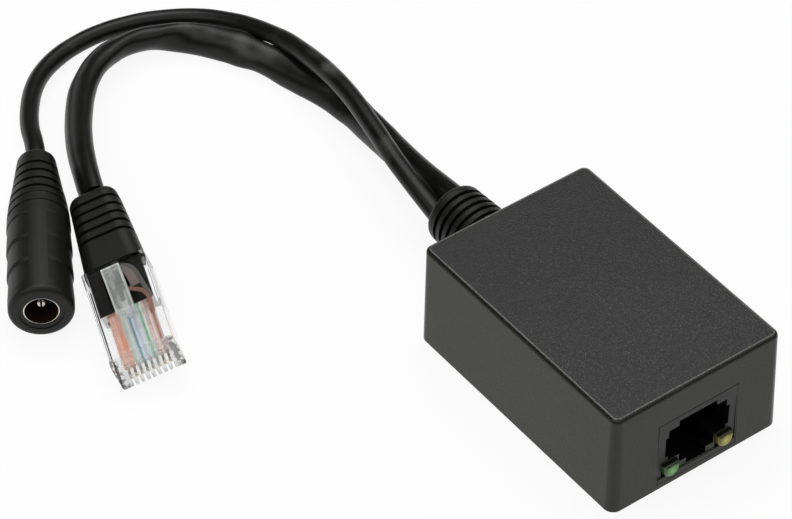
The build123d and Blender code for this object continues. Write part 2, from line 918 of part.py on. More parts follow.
def board_wires():
    exits = wire_rows(contact_count, wire_diameter * 1.1)
    return group([board_wire(place, y, gland_z) for place, y in zip(data_wire_places(), exits)])


def supply_wires():
    exits = wire_rows(2, supply_pitch)
    height = gland_z - 2 * wire_diameter
    return group([board_wire(place, y, height) for place, y in zip(supply_wire_places(), exits)])


def pin_places():
    """Every lead that ends in solder: place and half width of its hole."""
    hole = contact_width / 2 + hole_gap * 2
    places = [(jack_point(depth, 0)[0], y, hole) for y, depth in contact_rows()]
    places += [(x, y, led_leg / 2 + hole_gap * 2) for y, x in led_legs()]
    places += [(x, y, capacitor_leg / 2 + hole_gap * 2) for x, y in capacitor_leg_places()]
    places += [(x, y, wire_diameter / 2 + hole_gap) for x, y in data_wire_places() + supply_wire_places()]
    return places


def pcb():
    front = inner_face(housing_length / 2, board_top) - board_end_gap
    half = inner_face(housing_width / 2, board_top) - board_side_gap
    board = box_between((board_rear, -half, board_floor), (front, half, board_top))
    board = fillet(board.edges().filter_by(Axis.Z), board_corner)
    middle = (board_floor + board_top) / 2
    for x, y in post_places:
        board -= Pos(x, y, middle) * Cylinder(post_tip_radius + post_tip_clearance, board_thickness)
    for side in (-1, 1):
        place = (jack_front - peg_depth, jack_y + side * peg_spread, middle)
        board -= Pos(*place) * Cylinder(peg_radius + hole_gap, board_thickness)
    for x, y, radius in pin_places():
        board -= Pos(x, y, middle) * Cylinder(radius, board_thickness)
    return board


def solder_joints():
    return group([
        Pos(x, y, board_top + solder_height / 2) * Cone(solder_radius, solder_tip, solder_height)
        for x, y, radius in pin_places()
    ])


dc_exit, ethernet_exit = cord_exits()
plug_place = plug_frame()
dc_place = dc_frame()


def behind(place, length, height=0.0):
    """Point on the axis of a plug or socket, a length behind its front."""
    return tuple((place * Pos(-length, 0, height)).position)


ethernet_route = [
    ethernet_exit,
    (-45.5, ethernet_exit[1], ethernet_exit[2]),
    (-55.8, 3.6, 6.2),
    (-66.6, 4.8, 3.2),
    (-77.9, 4.0, 2.5),
    (-89.4, 2.5, 2.5),
    (-100.1, 0.3, 2.5),
    (-109.2, -4.9, 2.6),
    (-114.0, -13.4, 2.8),
    (-113.5, -23.1, 2.8),
    (-108.0, -31.2, 3.2),
    (-98.8, -37.4, 5.0),
    behind(plug_place, plug_length + boot_length + boot_leg, plug_height / 2),
    behind(plug_place, plug_length + boot_length, plug_height / 2),
]
dc_route = [
    dc_exit,
    (-44.5, dc_exit[1], dc_exit[2]),
    (-53.6, -1.8, 9.7),
    (-63.5, 0.9, 10.2),
    (-74.6, 4.2, 8.4),
    (-85.6, 6.9, 5.5),
    (-97.1, 7.1, 2.7),
    (-108.0, 3.7, 1.8),
    (-116.6, -4.0, 1.7),
    (-121.4, -14.7, 1.7),
    (-121.3, -25.9, 1.8),
    (-116.1, -35.4, 2.6),
    (-108.0, -41.3, 4.5),
    behind(dc_place, dc_length + dc_leg),
    behind(dc_place, dc_length),
]

save(cover(), "cover")
save(base_plate(), "base_plate")
save(pcb(), "pcb")
save(solder_joints(), "solder_joints")
save(rj45_jack(), "rj45_jack")
save(jack_insert(), "jack_insert")
save(jack_contacts(), "jack_contacts")
save(led(-1), "led_green")
save(led(1), "led_yellow")
save(led_leads(), "led_leads")
save(gland(), "gland")
save(magnetics_module(), "magnetics_module")
save(magnetics_leads(), "magnetics_leads")
save(filter_capacitor(), "filter_capacitor")
save(capacitor_leads(), "capacitor_leads")
save(surge_diode(), "surge_diode")
save(polyfuse(), "polyfuse")
save(chips(resistor_places), "chip_resistors")
save(chips(chip_capacitor_places), "chip_capacitors")
save(board_wires(), "board_wires")
save(supply_wires(), "supply_wires")
save(cord(ethernet_route, ethernet_diameter, "ethernet_cord"), "ethernet_cord")
save(cord(dc_route, dc_diameter, "dc_cord"), "dc_cord")
save(plug_place * plug_body(), "plug_body")
save(plug_place * plug_contacts(), "plug_contacts")
save(plug_place * plug_wires((0, 1)), "plug_wires_orange")
save(plug_place * plug_wires((2, 5)), "plug_wires_green")
save(plug_place * plug_wires((3, 4)), "plug_wires_blue")
save(plug_place * plug_wires((6, 7)), "plug_wires_brown")
save(plug_place * plug_boot(), "plug_boot")
save(dc_place * dc_jack_boot(), "dc_jack_boot")
save(dc_place * dc_jack_core(), "dc_jack_core")
save(dc_place * dc_jack_sleeve(), "dc_jack_sleeve")
save(dc_place * dc_jack_pin(), "dc_jack_pin")
save(dc_place * dc_jack_spring(), "dc_jack_spring")
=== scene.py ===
import bmesh
import bpy
import math
from mathutils import Euler, Matrix, Vector


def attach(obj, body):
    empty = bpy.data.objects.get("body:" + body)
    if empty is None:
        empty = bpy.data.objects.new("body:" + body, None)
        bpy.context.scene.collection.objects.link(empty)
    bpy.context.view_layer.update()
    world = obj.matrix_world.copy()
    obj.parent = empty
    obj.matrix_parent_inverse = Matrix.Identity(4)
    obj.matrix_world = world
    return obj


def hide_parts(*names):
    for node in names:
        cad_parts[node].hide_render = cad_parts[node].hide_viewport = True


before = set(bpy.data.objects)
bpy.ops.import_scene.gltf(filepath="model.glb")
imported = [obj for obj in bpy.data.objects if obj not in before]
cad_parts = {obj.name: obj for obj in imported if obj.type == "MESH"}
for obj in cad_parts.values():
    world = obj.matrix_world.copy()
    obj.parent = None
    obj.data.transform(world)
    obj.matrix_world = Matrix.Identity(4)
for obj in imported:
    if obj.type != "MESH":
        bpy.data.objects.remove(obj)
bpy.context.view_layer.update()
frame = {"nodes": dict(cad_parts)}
nodes = frame["nodes"]

# Camera fitted to the photograph: lengths in metres, the sensor's width in millimetres
image_width = 792
sensor_width = 36.0
camera_azimuth = math.radians(53.586)
camera_elevation = math.radians(43.657)
camera_roll = math.radians(-0.26)
camera_aside = -0.033091
camera_above = 0.019702
camera_distance = 0.645
camera_near = 0.05
focal_pixels = 3902

# Light on the set: the fill is the world's strength for rays that don't show the background
world_fill = 0.55
light_target = (-0.03, 0.0, 0.0)
floor_reach = 8.0
floor_height = -0.00002
floor_glow = 0.90

# Dark panels in a ring around the set: metres, and degrees round the ring
flag_radius = 1.0
flag_foot = 0.05
flag_low = 0.60
flag_high = 1.18
flag_sides = 72
flag_middle = 200
flag_half = 40
flag_ramp = 15

# Cord routes in metres, moved a little from the solids' routes to follow the photograph
power_diameter = 0.0034
ethernet_exit = (-0.0396, 0.0016, 0.0092)
power_exit = (-0.0396, -0.0021, 0.0074)
ethernet_route = [
    ethernet_exit,
    (-0.0447, 0.0020, 0.0082),
    (-0.0555, 0.0031, 0.0056),
    (-0.0672, 0.0048, 0.0034),
    (-0.0780, 0.0058, 0.0026),
    (-0.0919, 0.0029, 0.0024),
    (-0.1007, -0.0003, 0.0026),
    (-0.1089, -0.0057, 0.0027),
    (-0.1146, -0.0138, 0.0030),
    (-0.1142, -0.0225, 0.0030),
    (-0.1090, -0.0298, 0.0034),
    (-0.0984, -0.0376, 0.0052),
    (-0.0874, -0.0434, 0.0070),
    (-0.0801, -0.0461, 0.0067),
]
# How far the flattened jacket is turned at each point of the route, in degrees
ethernet_turns = [
    -92, -93, -85, -66, -43, -39, -43, -71, -128, -142, -138, -127, -112, -104
]
power_route = [
    power_exit,
    (-0.0431, -0.0021, 0.0084),
    (-0.0532, -0.0013, 0.0099),
    (-0.0635, 0.0009, 0.0101),
    (-0.0741, 0.0031, 0.0099),
    (-0.0847, 0.0041, 0.0088),
    (-0.0955, 0.0046, 0.0064),
    (-0.1067, 0.0027, 0.0036),
    (-0.1164, -0.0035, 0.0017),
    (-0.1212, -0.0150, 0.0017),
    (-0.1210, -0.0259, 0.0018),
    (-0.1163, -0.0353, 0.0026),
    (-0.1060, -0.0431, 0.0044),
    (-0.0980, -0.0464, 0.0057),
    (-0.0950, -0.0482, 0.0057),
]
# Jackets' measures in metres, with the flatness and the number of sides as plain numbers
ethernet_sizes = {
    "Width": 0.0061,
    "Flatness": 0.69,
    "Step": 0.0005,
    "Sides": 40,
    "Lay": 0.085,
    "Pair Twist": 0.017,
    "Ridge": 0.00010,
    "Lumps": 0.0005,
}
power_sizes = {
    "Width": power_diameter,
    "Flatness": 1.0,
    "Step": 0.0006,
    "Sides": 28,
    "Lay": 0.05,
    "Pair Twist": 0.02,
    "Ridge": 0.0,
    "Lumps": 0.0002,
}
lowest_skin = 0.00005

# Twisted pairs under the jacket: how many, and between which shares of the cord they show
pair_count = 4.0
pairs_start = (0.10, 0.30)
pairs_end = (0.66, 0.80)
lump_scale = 130.0

# Plug and power socket: the middle of the front edge, and its turn in degrees
plug_place = ((-0.04252, -0.05902, 0.001793), (18.35, 2.5, -20.4))
socket_place = ((-0.06294, -0.06786, 0.00565), (0.0, 0.0, -31.5))

# Conductors in the plug: the middle is where a conductor lies in its share of the pitch
contact_pitch = 0.001016
conductor_middle = 0.55

# Housing's front wall and the network socket in it
front_foot = 0.02552
front_lean = 0.021995
socket_face = 0.025237
socket_floor = 0.00115
socket_top = 0.01425
socket_middle = 0.00015
socket_half = 0.0081
socket_opening_half = 0.00825
light_spread = 0.0056
light_height = 0.0036
sill_height = 0.0010
post_overlap = 0.0001
trim_depth = 0.0002

# Loose conductors on top of the boot's tongue, as places in the plug's own plane
strand_height = 0.00575
strand_thickness = 0.00008
pink_places = [
    (-0.0208, 0.0000),
    (-0.0203, 0.0012),
    (-0.0188, 0.0021),
    (-0.0170, 0.0024),
    (-0.0152, 0.0025),
]
grey_places = [
    (-0.0212, -0.0002),
    (-0.0206, 0.0019),
    (-0.0188, 0.0031),
    (-0.0168, 0.0035),
    (-0.0148, 0.0038),
    (-0.0128, 0.0042),
    (-0.0114, 0.0044),
]
amber_places = [
    (-0.0152, 0.0010),
    (-0.0143, 0.0025),
    (-0.0132, 0.0036),
    (-0.0118, 0.0041),
    (-0.0100, 0.0040),
    (-0.0080, 0.0039),
]

# Soft steps between two looks, in metres along one axis: where each starts and ends
socket_mouth = (0.02490, 0.02520)
sleeve_mouth = (-0.00075, -0.00045)
lever_rise = (0.00664, 0.00672)
lever_tip = (-0.0083, -0.0081)
lever_rim = (0.00128, 0.00140)
lever_root = (-0.01655, -0.01640)
patch_back = (-0.0102, -0.0096)
patch_front = (-0.0076, -0.0070)
patch_right = (-0.0003, 0.0)
patch_left = (0.0007, 0.001)
nose_back = (-0.0016, -0.0010)
nose_corner = (0.0041, 0.0047)

# The same in squared metres from the middle of a status light, for its painted highlight and
# its painted rim shade
painted_spot_fade = (1e-8, 4e-7)
painted_rim_fade = (4e-7, 1.7e-6)

# Shades of marks, of painted highlights and painted shade, and of covered parts, as display
# values
painted_glint_shade = (84, 84, 80)
painted_edge_highlight_shade = (120, 120, 114)
painted_jacket_highlight_shade = (92, 92, 86)
unlit_shade = (5, 5, 6)
ledge_painted_light = (74, 74, 68)
sleeve_inside_shade = (62, 40, 28)
flow_shade = (240, 242, 242)
clear_shade = (252, 252, 252)
painted_corner_shade = (72, 66, 60)
milky_shade = (214, 217, 214)
mask_shade = (14, 62, 34)
track_shade = (28, 92, 48)


def colour(red, green, blue):
    """Colour from display values of 0 to 255."""
    linear = [((value / 255 + 0.055) / 1.055) ** 2.4 for value in (red, green, blue)]
    return (*linear, 1.0)


def dimmed(shade, share):
    """Colour whose display values are a share of a shade's."""
    return colour(*[value * share for value in shade])


class Number:
    """A socket whose arithmetic adds Math nodes to its tree."""

    def __init__(self, nodes, socket):
        self.nodes = nodes
        self.socket = socket

    def combine(self, operation, *values):
        inputs = dict(enumerate(values))
        made = self.nodes.node("ShaderNodeMath", {"operation": operation}, inputs)
        return Number(self.nodes, made.outputs[0])

    def __add__(self, other):
        return self.combine("ADD", self, other)

    def __sub__(self, other):
        return self.combine("SUBTRACT", self, other)

    def __rsub__(self, other):
        return self.combine("SUBTRACT", other, self)

    def __mul__(self, other):
        return self.combine("MULTIPLY", self, other)

    def __truediv__(self, other):
        return self.combine("DIVIDE", self, other)

    def __gt__(self, other):
        return self.combine("GREATER_THAN", self, other)

    __radd__ = __add__
    __rmul__ = __mul__

    def size(self):
        return self.combine("ABSOLUTE", self)

    def larger(self, other):
        return self.combine("MAXIMUM", self, other)

    def sine(self):
        return self.combine("SINE", self)

    def fraction(self):
        return self.combine("FRACT", self)

    def eased(self, low, high):
        """0 below low and 1 above high, with a soft step between."""
        made = self.nodes.node(
            "ShaderNodeMapRange",
            {"interpolation_type": "SMOOTHSTEP"},
            {"Value": self, "From Min": low, "From Max": high},
        )
        return Number(self.nodes, made.outputs["Result"])


class Nodes:
    """A node tree that is built node by node."""

    def __init__(self, tree):
        self.tree = tree

    def node(self, kind, settings, inputs):
        """A node with its settings first, then values or links for its sockets."""
        made = self.tree.nodes.new(kind)
        for name, value in settings.items():
            setattr(made, name, value)
        for name, value in inputs.items():
            self.feed(made.inputs[name], value)
        return made

    def feed(self, socket, value):
        if isinstance(value, Number):
            value = value.socket
        if isinstance(value, bpy.types.NodeSocket):
            self.tree.links.new(value, socket)
        else:
            socket.default_value = value

    def axes(self, vector):
        """The three numbers of a vector."""
        made = self.node("ShaderNodeSeparateXYZ", {}, {"Vector": vector})
        return [Number(self, socket) for socket in made.outputs]

    def stretched(self, vector, scale):
        """The vector with each axis multiplied by its own number."""
        settings = {"operation": "MULTIPLY"}
        made = self.node("ShaderNodeVectorMath", settings, {0: vector, 1: scale})
        return made.outputs["Vector"]

    def noise(self, vector, scale, detail=2.0, roughness=0.5):
        """Soft noise from 0 to 1, with its scale in patches to the metre."""
        inputs = {"Vector": vector, "Scale": scale, "Detail": detail, "Roughness": roughness}
        made = self.node("ShaderNodeTexNoise", {}, inputs)
        return Number(self, made.outputs["Fac"])

    def cells(self, vector, scale):
        """Distance to the nearest of many scattered points."""
        made = self.node("ShaderNodeTexVoronoi", {}, {"Vector": vector, "Scale": scale})
        return Number(self, made.outputs["Distance"])


class Finish(Nodes):
    """A material with one Principled shader, and more mixed over it."""

    def __init__(self, name, constants=None):
        self.material = bpy.data.materials.new(name)
        self.material.use_nodes = True
        super().__init__(self.material.node_tree)
        self.tree.nodes.clear()
        self.output = self.tree.nodes.new("ShaderNodeOutputMaterial")
        self.shader = self.node("ShaderNodeBsdfPrincipled", {}, constants or {})
        self.top = self.shader
        self.tree.links.new(self.shader.outputs[0], self.output.inputs["Surface"])

    def set(self, name, value):
        """A value or link for one of the shader's own sockets."""
        self.feed(self.shader.inputs[name], value)

    def cover(self, factor, constants):
        """Another Principled shader mixed over what is there, where factor is 1."""
        over = self.node("ShaderNodeBsdfPrincipled", {}, constants)
        inputs = {0: factor, 1: self.top.outputs[0], 2: over.outputs[0]}
        self.top = self.node("ShaderNodeMixShader", {}, inputs)
        self.tree.links.new(self.top.outputs[0], self.output.inputs["Surface"])

    def place(self, placing=None):
        """Object coordinates in metres, or the same from a piece's own origin and axes."""
        here = self.node("ShaderNodeTexCoord", {}, {}).outputs["Object"]
        if placing is None:
            return here
        origin, turn = placing
        angles = [math.radians(angle) for angle in turn]
        inputs = {"Vector": here, "Location": origin, "Rotation": angles}
        made = self.node("ShaderNodeMapping", {"vector_type": "TEXTURE"}, inputs)
        return made.outputs["Vector"]

    def facing(self):
        """The surface's direction, as three numbers."""
        return self.axes(self.node("ShaderNodeTexCoord", {}, {}).outputs["Normal"])

    def blend(self, factor, first, second):
        """Colour between two colours."""
        inputs = {0: factor, 6: first, 7: second}
        made = self.node("ShaderNodeMix", {"data_type": "RGBA"}, inputs)
        return made.outputs[2]

    def bump(self, height, distance, strength=1.0):
        """Fine relief, so many metres high where height is 1."""
        inputs = {"Height": height, "Distance": distance, "Strength": strength}
        made = self.node("ShaderNodeBump", {}, inputs)
        self.set("Normal", made.outputs["Normal"])

    def edge(self):
        """1 on rounded edges and corners, 0 on flat faces along the axes."""
        x, y, z = [axis.size() for axis in self.facing()]
        return 1.0 - x.larger(y).larger(z).eased(0.94, 0.995)


class Shape(Nodes):
    """A Geometry Nodes tree with named inputs."""

    def __init__(self, name, inputs):
        super().__init__(bpy.data.node_groups.new(name, "GeometryNodeTree"))
        sockets = self.tree.interface
        for label, kind in inputs.items():
            sockets.new_socket(label, in_out="INPUT", socket_type="NodeSocket" + kind)
        sockets.new_socket("Geometry", in_out="OUTPUT", socket_type="NodeSocketGeometry")
        self.start = self.tree.nodes.new("NodeGroupInput")

    def value(self, label):
        return Number(self, self.start.outputs[label])

    def kept(self, geometry, name, value):
        """Geometry that keeps a number at each point."""
        settings = {"data_type": "FLOAT", "domain": "POINT"}
        inputs = {"Geometry": geometry, "Name": name, "Value": value}
        made = self.node("GeometryNodeStoreNamedAttribute", settings, inputs)
        return made.outputs["Geometry"]

    def read(self, name):
        """The number kept at a point."""
        settings = {"data_type": "FLOAT"}
        made = self.node("GeometryNodeInputNamedAttribute", settings, {"Name": name})
        return Number(self, made.outputs["Attribute"])

    def close(self, geometry):
        """End of the tree: real geometry with its material."""
        real = self.node("GeometryNodeRealizeInstances", {}, {"Geometry": geometry}).outputs[0]
        inputs = {"Geometry": real, "Material": self.value("Material")}
        dressed = self.node("GeometryNodeSetMaterial", {}, inputs)
        end = self.tree.nodes.new("NodeGroupOutput")
        self.tree.links.new(dressed.outputs[0], end.inputs["Geometry"])
        return self

    def make(self, name, values):
        """Plain mesh object that the tree makes from its input values."""
        base = bpy.data.objects.new(name, bpy.data.meshes.new(name + "_base"))
        bpy.context.scene.collection.objects.link(base)
        modifier = base.modifiers.new("shape", "NODES")
        modifier.node_group = self.tree
        for item in self.tree.interface.items_tree:
            if item.in_out == "INPUT":
                modifier[item.identifier] = values[item.name]
        graph = bpy.context.evaluated_depsgraph_get()
        mesh = bpy.data.meshes.new_from_object(base.evaluated_get(graph), depsgraph=graph)
        base.modifiers.remove(modifier)
        base.data = mesh
        shell = bmesh.new()
        shell.from_mesh(mesh)
        bmesh.ops.recalc_face_normals(shell, faces=shell.faces)
        shell.to_mesh(mesh)
        shell.free()
        return base


def grained_plastic(name, shade, side_painted_tone, grain_size, relief, roughness):
    """Black moulding with a spark-eroded grain and smooth edges; the top edges' rounding is
    painted paler as a painted highlight, the top carries painted glints, and the sides are
    painted a lighter olive than the top as painted light.
    """
    finish = Finish(name, {"Specular IOR Level": 0.34})
    place = finish.place()
    grain = finish.noise(place, 1 / grain_size, 3.0, 0.65)
    pits = finish.cells(place, 0.8 / grain_size)
    spark = finish.noise(place, 1.3 / grain_size, 1.0)
    broad = finish.noise(place, 60.0, 2.0)
    edge = finish.edge()
    along = finish.axes(place)[0]
    up = finish.facing()[2]
    top = up.eased(0.5, 0.9)
    # Painted glints: pale specks of the grain on top faces, fuller towards the front, standing
    # in for highlights
    nearness = 0.35 + along.eased(-0.03, 0.03) * 0.65
    painted_glint = spark.eased(0.58, 0.72) * top * nearness * (0.5 + broad)
    # Painted highlight along the rounding of the top edges, broken up by the grain
    rounding = up.eased(0.90, 0.955) * (1.0 - up.eased(0.985, 0.998))
    painted_highlight = rounding * (0.4 + spark.eased(0.42, 0.6) * 0.6)
    # Sides painted a lighter olive than the top, as painted light; the top keeps the plain
    # shade
    body = finish.blend(top, colour(*side_painted_tone), colour(*shade))
    body = finish.blend(painted_glint, body, colour(*painted_glint_shade))
    finish.set("Base Color", finish.blend(painted_highlight, body, colour(*painted_edge_highlight_shade)))
    finish.set("Roughness", roughness + grain * 0.16 - edge * 0.12)
    finish.bump((grain * 0.6 + pits * 0.4) * (1.0 - edge * 0.8), relief)
    return finish.material


def smooth_plastic(name, shade, roughness):
    """Moulding with a fine satin surface and faint flow marks."""
    finish = Finish(name, {"Specular IOR Level": 0.36})
    place = finish.place()
    cloud = finish.noise(place, 140.0, 3.0)
    fine = finish.noise(place, 2600.0, 2.0)
    finish.set("Base Color", finish.blend(cloud, dimmed(shade, 0.85), dimmed(shade, 1.15)))
    finish.set("Roughness", roughness + cloud * 0.08 + fine * 0.06)
    finish.bump(fine * 0.6 + cloud * 0.4, 0.00001)
    return finish


def socket_moulding():
    """Socket housing, with painted shade inside it: its inside and sides a deeper black, with
    little sheen, than its face.
    """
    finish = smooth_plastic("socket_plastic", (22, 22, 20), 0.38)
    along = finish.axes(finish.place())[0]
    inside = 1.0 - along.eased(*socket_mouth)
    # Painted shade: everything behind the socket's mouth darker and with less sheen
    unlit = {"Base Color": colour(*unlit_shade), "Roughness": 0.7, "Specular IOR Level": 0.12}
    finish.cover(inside, unlit)
    return finish.material


def trim_plastic():
    """Socket frame's trim, its narrow ledges painted paler than its front as painted light over
    their shade, its front painted the lighter olive of the housing's sides.
    """
    finish = smooth_plastic("trim_plastic", (24, 25, 16), 0.36)
    # Painted light: the ledges, which face away from the front, made paler over their shade
    ledge = 1.0 - finish.facing()[0].eased(0.3, 0.7)
    finish.cover(ledge, {"Base Color": colour(*ledge_painted_light), "Roughness": 0.6})
    return finish.material


def metal(name, shade, roughness, streak_scale):
    """Plated metal with drawing marks and faint tarnish."""
    finish = Finish(name, {"Metallic": 1.0})
    place = finish.place()
    streaks = finish.noise(finish.stretched(place, (0.15, 1.0, 1.0)), streak_scale, 3.0)
    tarnish = finish.noise(place, 400.0, 2.0).eased(0.3, 0.7)
    finish.set("Base Color", finish.blend(tarnish, dimmed(shade, 0.82), colour(*shade)))
    finish.set("Roughness", roughness + streaks * 0.12)
    finish.bump(streaks, 0.000004)
    return finish


def sleeve_metal():
    """Bright rim of the power socket, with a dull brown inside."""
    finish = metal("sleeve_plate", (232, 224, 212), 0.16, 2500.0)
    along = finish.axes(finish.place(socket_place))[0]
    inside = 1.0 - along.eased(*sleeve_mouth)
    dull = {"Base Color": colour(*sleeve_inside_shade), "Metallic": 0.7, "Roughness": 0.55}
    finish.cover(inside, dull)
    return finish.material


def clear_plastic():
    """Water-clear moulding of the modular plug, milky on its latch lever and its nose, with
    painted grey-brown shade in patches at the nose's corners.
    """
    constants = {"Transmission Weight": 1.0, "IOR": 1.20, "Specular IOR Level": 0.5}
    finish = Finish("clear_plastic", constants)
    place = finish.place()
    flow = finish.noise(finish.stretched(place, (1.0, 0.35, 1.0)), 260.0, 2.0)
    smear = finish.noise(place, 900.0, 2.0)
    finish.set("Base Color", finish.blend(flow, colour(*flow_shade), colour(*clear_shade)))
    finish.set("Roughness", 0.015 + smear.eased(0.45, 0.8) * 0.05)
    finish.bump(flow, 0.00002, 0.6)
    own_place = finish.place(plug_place)
    streak = finish.noise(finish.stretched(own_place, (0.4, 1.6, 0.4)), 520.0, 3.0)
    blotch = finish.noise(own_place, 900.0, 2.0)
    x, y, z = finish.axes(own_place)
    aside = y.size()
    tip = 1.0 - x.eased(*lever_tip)
    rim = aside.eased(*lever_rim) * tip + (1.0 - x.eased(*lever_root))
    patch = x.eased(*patch_back) * (1.0 - x.eased(*patch_front))
    patch = patch * y.eased(*patch_right) * (1.0 - y.eased(*patch_left))
    haze = 0.06 + tip * 0.12 + streak.eased(0.35, 0.75) * (0.08 + tip * 0.20)
    lever_haze = z.eased(*lever_rise) * (haze + rim * 0.40 + patch * 0.35)
    nose = x.eased(*nose_back)
    nose_haze = nose * (0.15 + streak.eased(0.3, 0.7) * 0.30)
    # Painted shade: grey-brown patches at the nose's thick corners, standing in for what is
    # seen through them
    painted_corner = nose * aside.eased(*nose_corner) * blotch.eased(0.42, 0.56)
    milky = lever_haze.larger(nose_haze * (1.0 - painted_corner))
    finish.cover(painted_corner * 0.75, {"Base Color": colour(*painted_corner_shade), "Roughness": 0.25})
    finish.cover(milky, {"Base Color": colour(*milky_shade), "Roughness": 0.3})
    return finish.material


def lens(name, side, face, spot, painted_rim_shade):
    """Tinted lens of a status light, with a painted highlight in the middle and painted shade
    at its rim and on its flat upper side.
    """
    finish = Finish(name, {"Transmission Weight": 0.15, "IOR": 1.5})
    place = finish.place()
    y, z = finish.axes(place)[1:]
    across = y - (socket_middle + side * light_spread)
    above = z - light_height
    away = across * across + above * above
    cloud = finish.noise(place, 900.0, 3.0)
    # Painted highlight in the lens's middle; painted shade towards its rim and on its upper
    # side
    painted_spot_share = (1.0 - away.eased(*painted_spot_fade)) * (0.4 + cloud * 0.8)
    upper = finish.facing()[2].eased(0.45, 0.85)
    body = finish.blend(away.eased(*painted_rim_fade), colour(*face), colour(*painted_rim_shade))
    body = finish.blend(painted_spot_share, body, colour(*spot))
    finish.set("Base Color", finish.blend(upper, body, dimmed(painted_rim_shade, 0.22)))
    finish.set("Roughness", 0.14 + cloud * 0.10)
    finish.bump(cloud, 0.00004, 0.5)
    return finish.material


def jacket(name, shade, roughness, shine):
    """PVC with faint flow marks and scuffs, and paler patches on upward faces that are painted
    highlights.
    """
    finish = Finish(name, {"Specular IOR Level": shine})
    place = finish.place()
    cloud = finish.noise(place, 220.0, 3.0)
    scuff = finish.noise(place, 1500.0, 3.0, 0.6)
    painted_highlight_patches = finish.noise(place, 95.0, 2.0).eased(0.60, 0.78)
    # Painted highlights: paler patches on upward faces, standing in for lamp highlights along
    # the jacket
    painted_highlight = painted_highlight_patches * finish.facing()[2].eased(0.2, 0.9) * (0.3 + scuff * 0.5)
    mottle = cloud * 0.7 + scuff * 0.3
    body = finish.blend(mottle, dimmed(shade, 0.8), dimmed(shade, 1.25))
    finish.set("Base Color", finish.blend(painted_highlight, body, colour(*painted_jacket_highlight_shade)))
    finish.set("Roughness", roughness + cloud * 0.10 + scuff * 0.06)
    finish.bump(cloud * 0.8 + scuff * 0.2, 0.00003)
    return finish.material


def insulation(name, shade, pale, line):
    """Conductors in the plug, every second one with a strong colour; the strong colour shows
    only along each conductor's middle, its sides painted pale as painted highlight, and all
    glow faintly in their own colours as painted light.
    """
    # Faint emission in the conductors' own colours: painted light, a glow that no lamp gives
    finish = Finish(name, {"Specular IOR Level": 0.5, "Emission Strength": 0.16})
    place = finish.place(plug_place)
    lane = finish.axes(place)[1] / contact_pitch
    across = (lane.fraction() - conductor_middle).size()
    solid = (lane * 0.5).fraction() > 0.5
    stripe = finish.noise(finish.stretched(place, (0.3, 1.0, 0.3)), 700.0, 2.0)
    # Strong colour only along each conductor's middle; its sides take the pale shade as painted
    # highlight
    middle = 1.0 - across.eased(line * 0.4, line)
    strong = middle * (0.65 + stripe * 0.35) * (0.12 + solid * 0.88)
    body = finish.blend(stripe.eased(0.3, 0.7), colour(*pale), dimmed(pale, 0.93))
    coating_and_glow = finish.blend(strong, body, colour(*shade))
    finish.set("Base Color", coating_and_glow)
    finish.set("Emission Color", coating_and_glow)
    finish.set("Roughness", 0.35 + stripe * 0.15)
    return finish.material


def plain_insulation(name, shade):
    """Insulation of a conductor of one colour."""
    finish = Finish(name, {"Specular IOR Level": 0.5})
    cloud = finish.noise(finish.place(), 500.0, 2.0)
    finish.set("Base Color", finish.blend(cloud, dimmed(shade, 0.85), colour(*shade)))
    finish.set("Roughness", 0.35 + cloud * 0.15)
    return finish.material


def circuit_board():
    """Green solder mask over copper tracks."""
    finish = Finish("circuit_board", {"Coat Weight": 0.3, "Coat Roughness": 0.2})
    place = finish.place()
    tracks = finish.cells(finish.stretched(place, (1.0, 1.0, 0.0)), 450.0)
    weave = finish.noise(place, 2200.0, 2.0)
    green = finish.blend(tracks.eased(0.42, 0.5), colour(*mask_shade), colour(*track_shade))
    finish.set("Base Color", green)
    finish.set("Roughness", 0.35 + weave * 0.1)
    finish.bump(tracks.eased(0.4, 0.5) + weave * 0.2, 0.00002)
    return finish.material


def dress(names, material):
    """Give CAD nodes their finish."""
    for name in names:
        piece = nodes[name]
        for slot in piece.material_slots:
            slot.material = material
        if not piece.material_slots:
            piece.data.materials.append(material)


def cord_line(name, points, turns=None):
    """Smooth line through the route, as a curve with no thickness."""
    data = bpy.data.curves.new(name, "CURVE")
    data.dimensions = "3D"
    data.resolution_u = 20
    spline = data.splines.new("NURBS")
    spline.points.add(len(points) - 1)
    for control, point in zip(spline.points, points):
        control.co = (*point, 1.0)
    spline.order_u = 3
    spline.use_endpoint_u = True
    for control, turn in zip(spline.points, turns or []):
        control.tilt = math.radians(turn)
    return data


def line_points(data):
    """Points along the smooth line, in order."""
    line = bpy.data.objects.new("line", data)
    bpy.context.scene.collection.objects.link(line)
    graph = bpy.context.evaluated_depsgraph_get()
    mesh = bpy.data.meshes.new_from_object(line.evaluated_get(graph), depsgraph=graph)
    points = [tuple(vertex.co) for vertex in mesh.vertices]
    bpy.data.meshes.remove(mesh)
    bpy.data.objects.remove(line)
    return points


